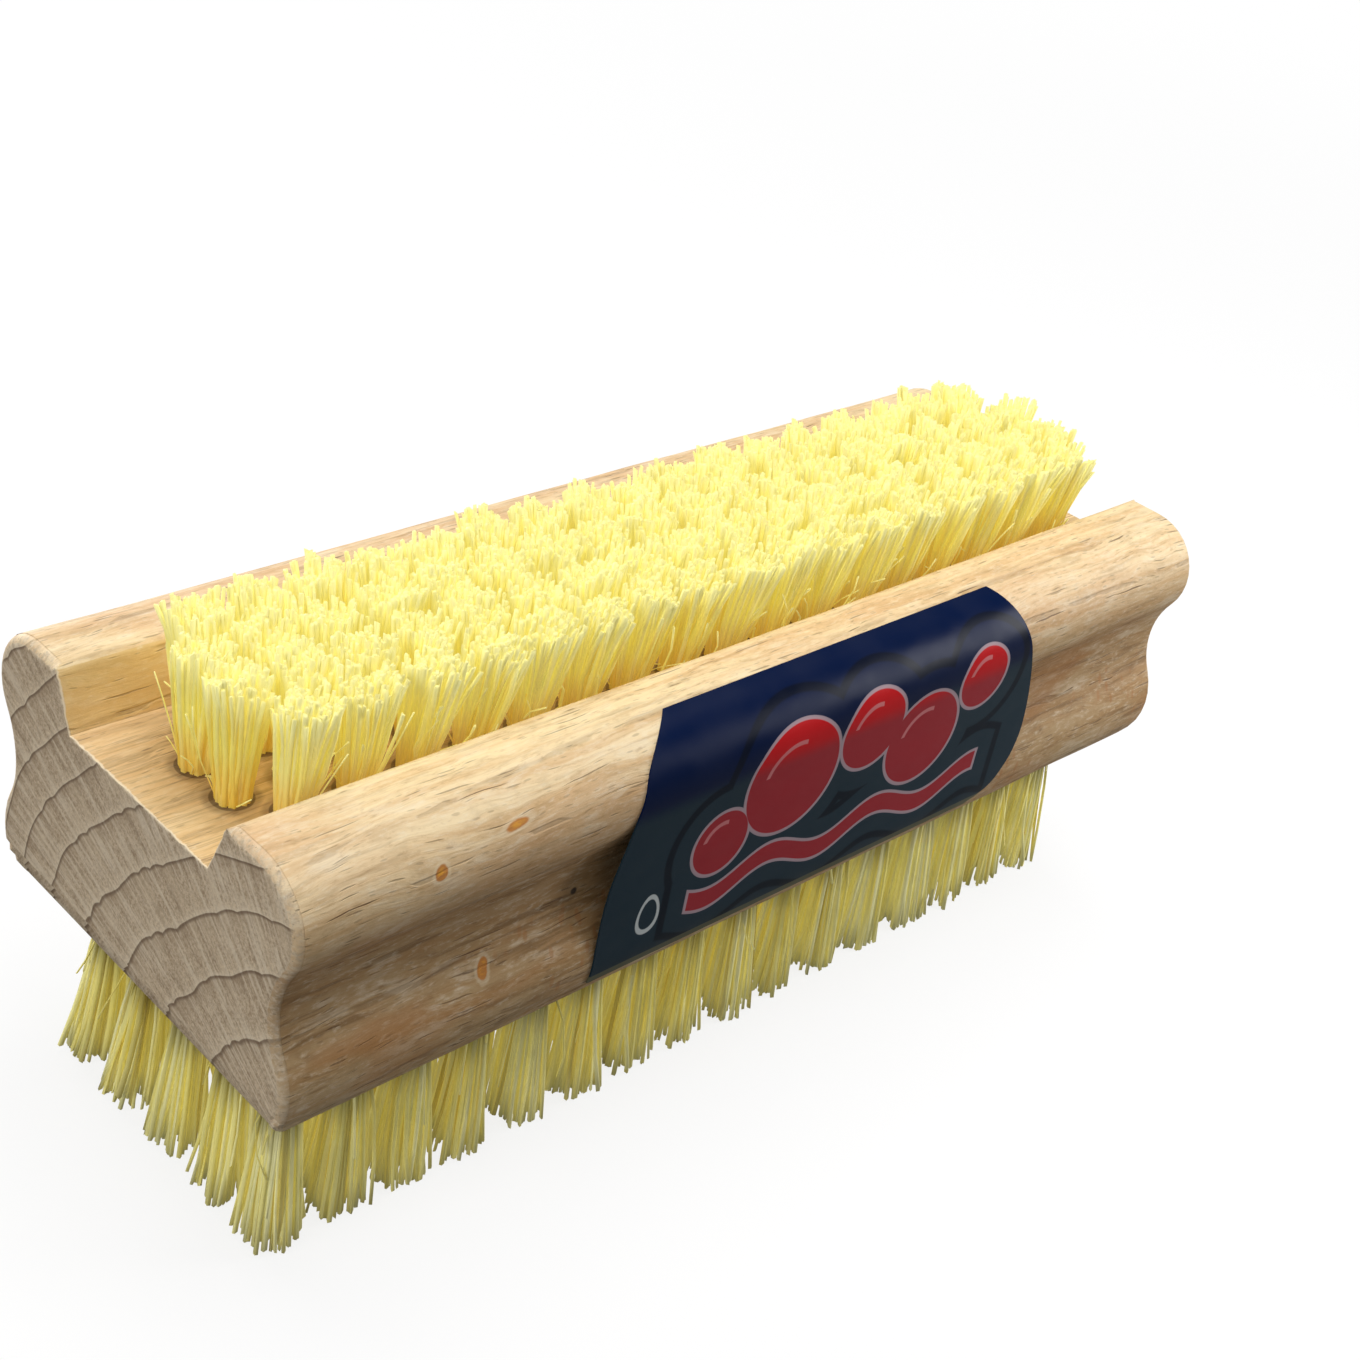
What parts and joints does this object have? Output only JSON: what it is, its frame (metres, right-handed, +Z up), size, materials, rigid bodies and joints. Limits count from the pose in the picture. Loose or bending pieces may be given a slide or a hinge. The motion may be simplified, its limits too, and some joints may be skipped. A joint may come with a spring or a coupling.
{
  "type": "nail brush",
  "caption": "Two-sided wooden nail brush: a long block with a finger hollow along each side, long bristles underneath and a short bristle field in the channel on top.",
  "frame": {"origin": "middle of the resting plane, on the cut tips of the long bristles", "axes": "+X along the block, +Z up from the long bristles to the short ones, and the label faces -Y"},
  "size_m": [0.095, 0.0363, 0.0422],
  "materials": {
    "beech": "sanded, unvarnished",
    "bristle": "cut plant fibre, slightly glossy",
    "anchor_wire": "flat drawn wire",
    "label_film": "glossy printed film"
  },
  "bodies": {
    "root": {"wooden_block": "beech", "side_label": "label_film", "top_bristle_row_1": "bristle", "top_bristle_row_2": "bristle", "top_bristle_row_3": "bristle", "top_bristle_row_4": "bristle", "bottom_bristle_row_1": "bristle", "bottom_bristle_row_2": "bristle", "bottom_bristle_row_3": "bristle", "bottom_bristle_row_4": "bristle", "bottom_bristle_row_5": "bristle", "top_anchor_row_1": "anchor_wire", "top_anchor_row_2": "anchor_wire", "top_anchor_row_3": "anchor_wire", "top_anchor_row_4": "anchor_wire", "bottom_anchor_row_1": "anchor_wire", "bottom_anchor_row_2": "anchor_wire", "bottom_anchor_row_3": "anchor_wire", "bottom_anchor_row_4": "anchor_wire", "bottom_anchor_row_5": "anchor_wire"}
  },
  "joints": []
}
